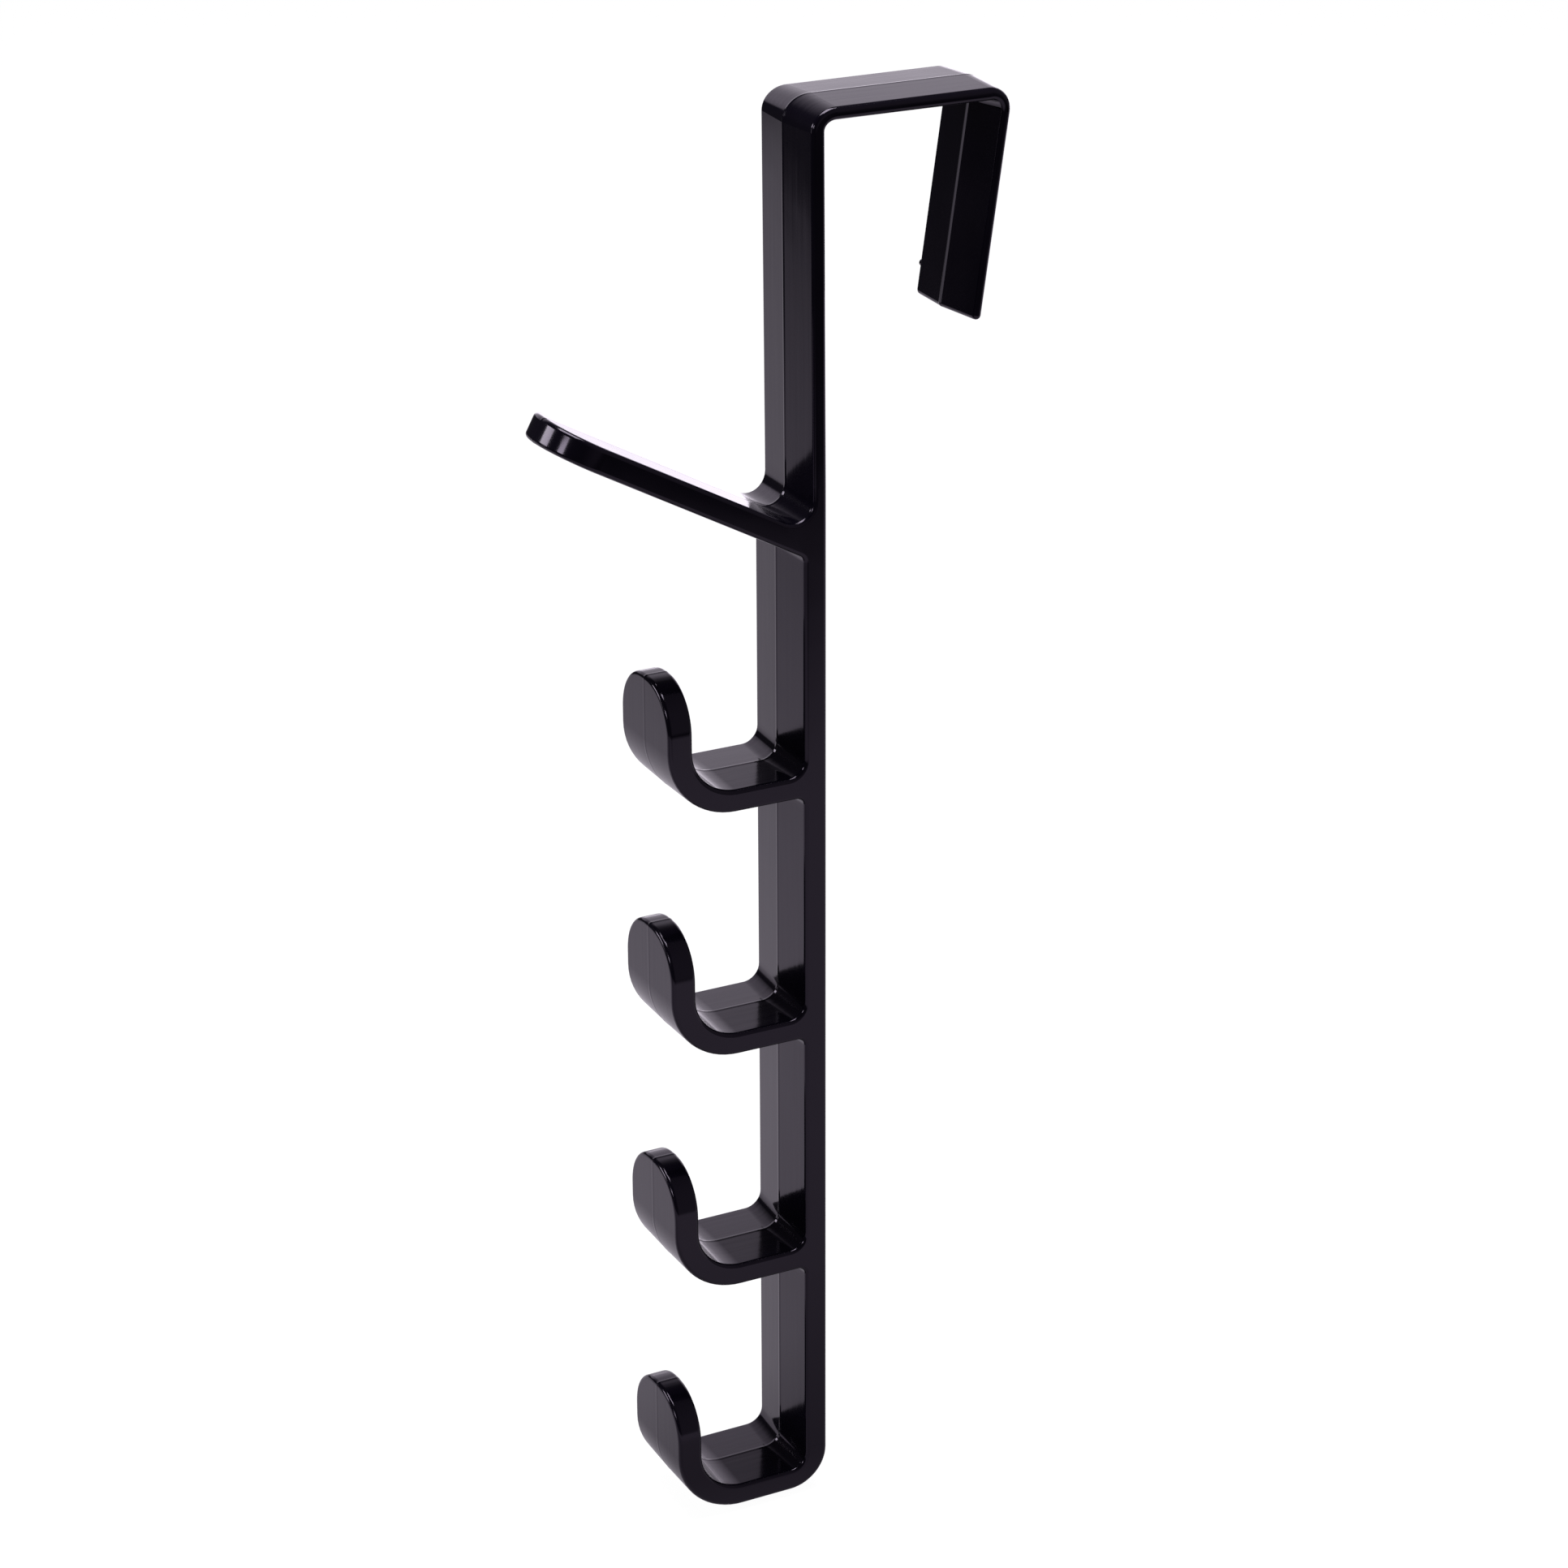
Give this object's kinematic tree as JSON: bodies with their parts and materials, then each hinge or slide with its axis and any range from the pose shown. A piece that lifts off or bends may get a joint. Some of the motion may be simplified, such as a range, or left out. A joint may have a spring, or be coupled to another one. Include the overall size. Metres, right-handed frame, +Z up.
{
  "type": "over-the-door hook rack",
  "caption": "Gloss black over-the-door hook rack: a U-shaped door saddle, a flat spine, one long upslanted hanger arm and a column of rounded J-shaped hooks.",
  "frame": {"origin": "centre of the saddle's underside, which rests on the top of the door, at mid-width", "axes": "+Z up along the spine, -Y towards the room side where the arm and the hooks point, +X across the strip's width"},
  "size_m": [0.0253, 0.1107, 0.3412],
  "materials": {
    "black_plastic": "gloss"
  },
  "bodies": {
    "root": {"door_saddle": "black_plastic", "front_bend": "black_plastic", "rear_bend": "black_plastic", "door_leg": "black_plastic", "upper_spine": "black_plastic", "long_arm": "black_plastic", "spine_link_1": "black_plastic", "spine_link_2": "black_plastic", "spine_link_3": "black_plastic", "spine_link_4": "black_plastic", "hook_1": "black_plastic", "hook_2": "black_plastic", "hook_3": "black_plastic", "hook_4": "black_plastic"}
  },
  "joints": []
}
